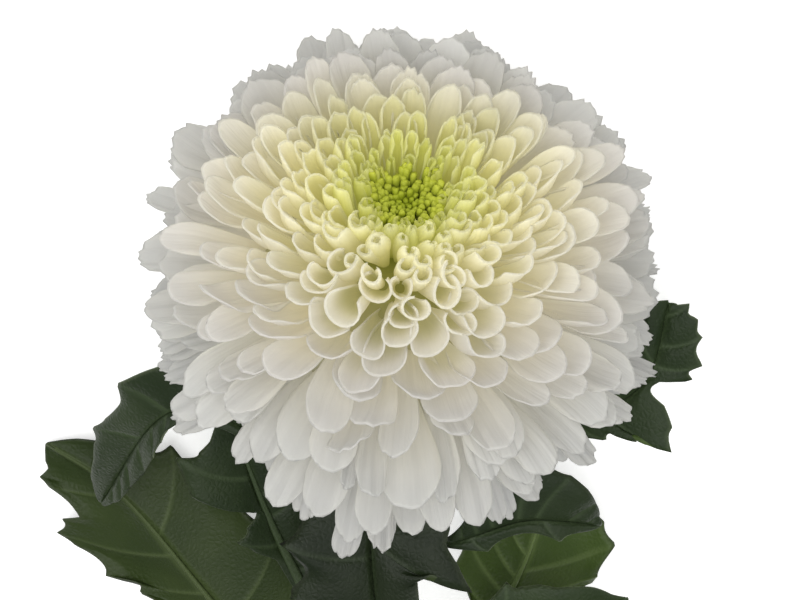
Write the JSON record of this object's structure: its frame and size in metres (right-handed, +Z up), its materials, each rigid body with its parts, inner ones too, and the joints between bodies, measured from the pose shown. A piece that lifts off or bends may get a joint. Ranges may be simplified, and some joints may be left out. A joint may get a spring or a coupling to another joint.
{
  "type": "disbud chrysanthemum",
  "caption": "Large round white chrysanthemum with a green centre, spoon-shaped petals and lobed dark leaves on its cut stem, lying down.",
  "frame": {"origin": "on the surface that the flower lies on, at the spot where its petals rest, under the middle of the flower", "axes": "+Z up from the surface, +Y the way the flower faces along the surface, with the stem running towards -Y; +X to the right as seen from behind the stem"},
  "size_m": [0.1749, 0.432, 0.1248],
  "materials": {
    "petal": "soft matt petals, white outside and cream to pale yellow inside",
    "floret": "fresh yellow-green, slightly waxy",
    "bract": "matt green with a pale edge",
    "stem": "matt green, finely ribbed and downy",
    "leaf": "dark green with a soft sheen, paler and matt underneath"
  },
  "bodies": {
    "root": {"bloom": "petal", "centre_florets": "floret", "bract_cup": "bract", "stem": "stem", "leaf_01": "leaf", "leaf_02": "leaf", "leaf_03": "leaf", "leaf_04": "leaf", "leaf_05": "leaf", "leaf_06": "leaf", "leaf_07": "leaf", "leaf_08": "leaf", "leaf_09": "leaf", "leaf_10": "leaf", "leaf_11": "leaf", "leaf_12": "leaf"}
  },
  "joints": []
}
